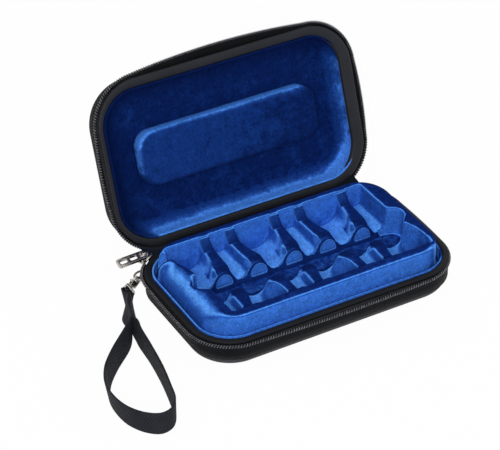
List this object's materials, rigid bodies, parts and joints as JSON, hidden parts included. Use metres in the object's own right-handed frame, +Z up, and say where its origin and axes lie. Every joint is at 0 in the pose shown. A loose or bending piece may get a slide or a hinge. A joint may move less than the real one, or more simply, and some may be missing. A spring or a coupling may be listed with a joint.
{
  "type": "mouthpiece case",
  "caption": "Open zipped hard case with a velvet tray of mouthpiece pockets, a padded hinged lid and a wrist strap on a snap hook.",
  "frame": {"origin": "middle of the base's underside", "axes": "+X along the case, with the strap at the -X end, +Y to the hinge, +Z up"},
  "size_m": [0.3047, 0.2348, 0.1515],
  "materials": {
    "shell_cloth": "matte",
    "velvet": "matte",
    "binding": "satin",
    "zip_tape": "matte",
    "zip_coil": "satin",
    "nickel": "polished",
    "webbing": "matte"
  },
  "bodies": {
    "base": {"base_shell": "shell_cloth", "base_lining": "velvet", "base_binding": "binding", "base_zip_tape": "zip_tape", "base_zip_coil": "zip_coil", "zip_end_left": "zip_tape", "zip_end_right": "zip_tape", "hinge_cloth_base": "zip_tape", "tray_insert": "velvet", "ring_tab": "webbing"},
    "lid": {"lid_shell": "shell_cloth", "lid_lining": "velvet", "lid_pad": "velvet", "lid_binding": "binding", "lid_zip_tape": "zip_tape", "lid_zip_coil": "zip_coil", "hinge_cloth_lid": "zip_tape"},
    "slider": {"zip_slider": "nickel"},
    "pull": {"zip_pull": "nickel"},
    "ring": {"strap_ring": "nickel"},
    "hook": {"hook_body": "nickel"},
    "bolt": {"hook_bolt": "nickel"},
    "eye": {"swivel_eye": "nickel"},
    "strap": {"wrist_strap": "webbing"}
  },
  "joints": [
    {"name": "lid_hinge", "type": "hinge", "parent": "base", "child": "lid", "pos_m": [0, 0.0663, 0.0226], "axis": [1, 0, 0], "range_deg": [0, 110]},
    {"name": "slider_travel", "type": "hinge", "parent": "base", "child": "slider", "pos_m": [-0.075, 0.0302, 0.0226], "axis": [0, 0, 1], "range_deg": [0, 20]},
    {"name": "pull_swing", "type": "hinge", "parent": "slider", "child": "pull", "pos_m": [-0.09636, 0.06249, 0.0268], "axis": [0.1045, 0.9945, 0], "range_deg": [0, 30]},
    {"name": "ring_swing", "type": "hinge", "parent": "base", "child": "ring", "pos_m": [-0.10109, 0.05629, 0.013], "axis": [0.7071, 0.7071, 0], "range_deg": [0, 12]},
    {"name": "hook_swing", "type": "hinge", "parent": "ring", "child": "hook", "pos_m": [-0.10757, 0.05452, 0.01241], "axis": [-0.3162, 0.9358, -0.1561], "range_deg": [0, 12]},
    {"name": "bolt_slide", "type": "slide", "parent": "hook", "child": "bolt", "axis": [-0.8224, -0.3524, -0.4467], "range_m": [0, 0.0018], "stiffness_N_per_m": 250, "springref_m": -0.001},
    {"name": "eye_swivel", "type": "hinge", "parent": "hook", "child": "eye", "pos_m": [-0.10757, 0.05452, 0.01241], "axis": [-0.8224, -0.3524, -0.4467], "range_deg": [0, 10]},
    {"name": "strap_swing", "type": "hinge", "parent": "eye", "child": "strap", "pos_m": [-0.11711, 0.05044, 0.00723], "axis": [-0.473, -0.0129, 0.881], "range_deg": [0, 8]}
  ]
}
